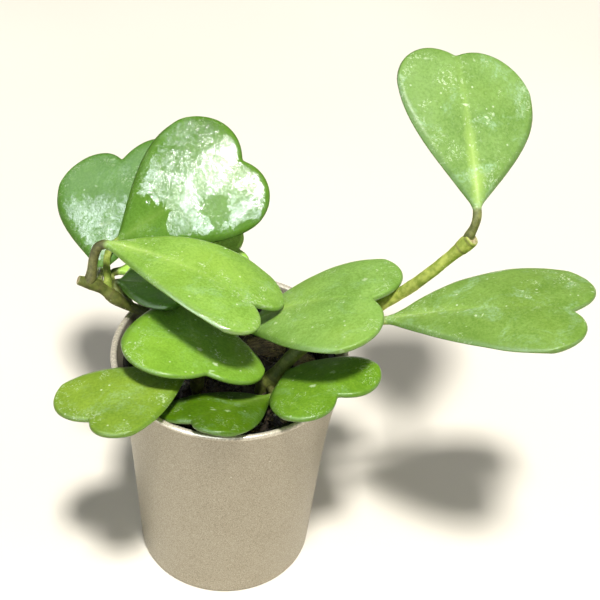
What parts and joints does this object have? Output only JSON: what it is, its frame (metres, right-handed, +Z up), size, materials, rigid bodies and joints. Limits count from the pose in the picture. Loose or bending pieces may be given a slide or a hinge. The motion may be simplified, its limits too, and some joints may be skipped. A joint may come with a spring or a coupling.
{
  "type": "potted hoya plant",
  "caption": "Small potted hoya: thick heart-shaped leaves on short climbing stems, in a black nursery pot of soil inside a flared, sand-coloured cover pot.",
  "frame": {"origin": "centre of the cover pot's foot, on the surface that it stands on", "axes": "+Z up, +X towards the upper right leaf, -Y towards the viewer"},
  "size_m": [0.2239, 0.1392, 0.232],
  "materials": {
    "cover_pot": "satin sand-coloured coat with a fine metallic speckle",
    "nursery_pot": "glossy black",
    "soil": "dark, damp and crumbly",
    "husk": "brown fibrous coir",
    "stem": "green-brown bark",
    "leaf": "waxy mid green with pale flecks"
  },
  "bodies": {
    "root": {"cover_pot": "cover_pot", "nursery_pot": "nursery_pot", "soil": "soil", "husk_chunk_large": "husk", "husk_chunk_small": "husk", "stem_left": "stem", "stem_right": "stem", "stem_back": "stem", "stem_front": "stem", "leaf_top_right": "leaf", "leaf_far_right": "leaf", "leaf_centre_right": "leaf", "leaf_centre_top": "leaf", "leaf_back": "leaf", "leaf_back_left": "leaf", "leaf_back_shaded": "leaf", "leaf_under": "leaf", "leaf_front_left": "leaf", "leaf_low_left": "leaf", "leaf_low_centre": "leaf", "leaf_low_right": "leaf"}
  },
  "joints": []
}
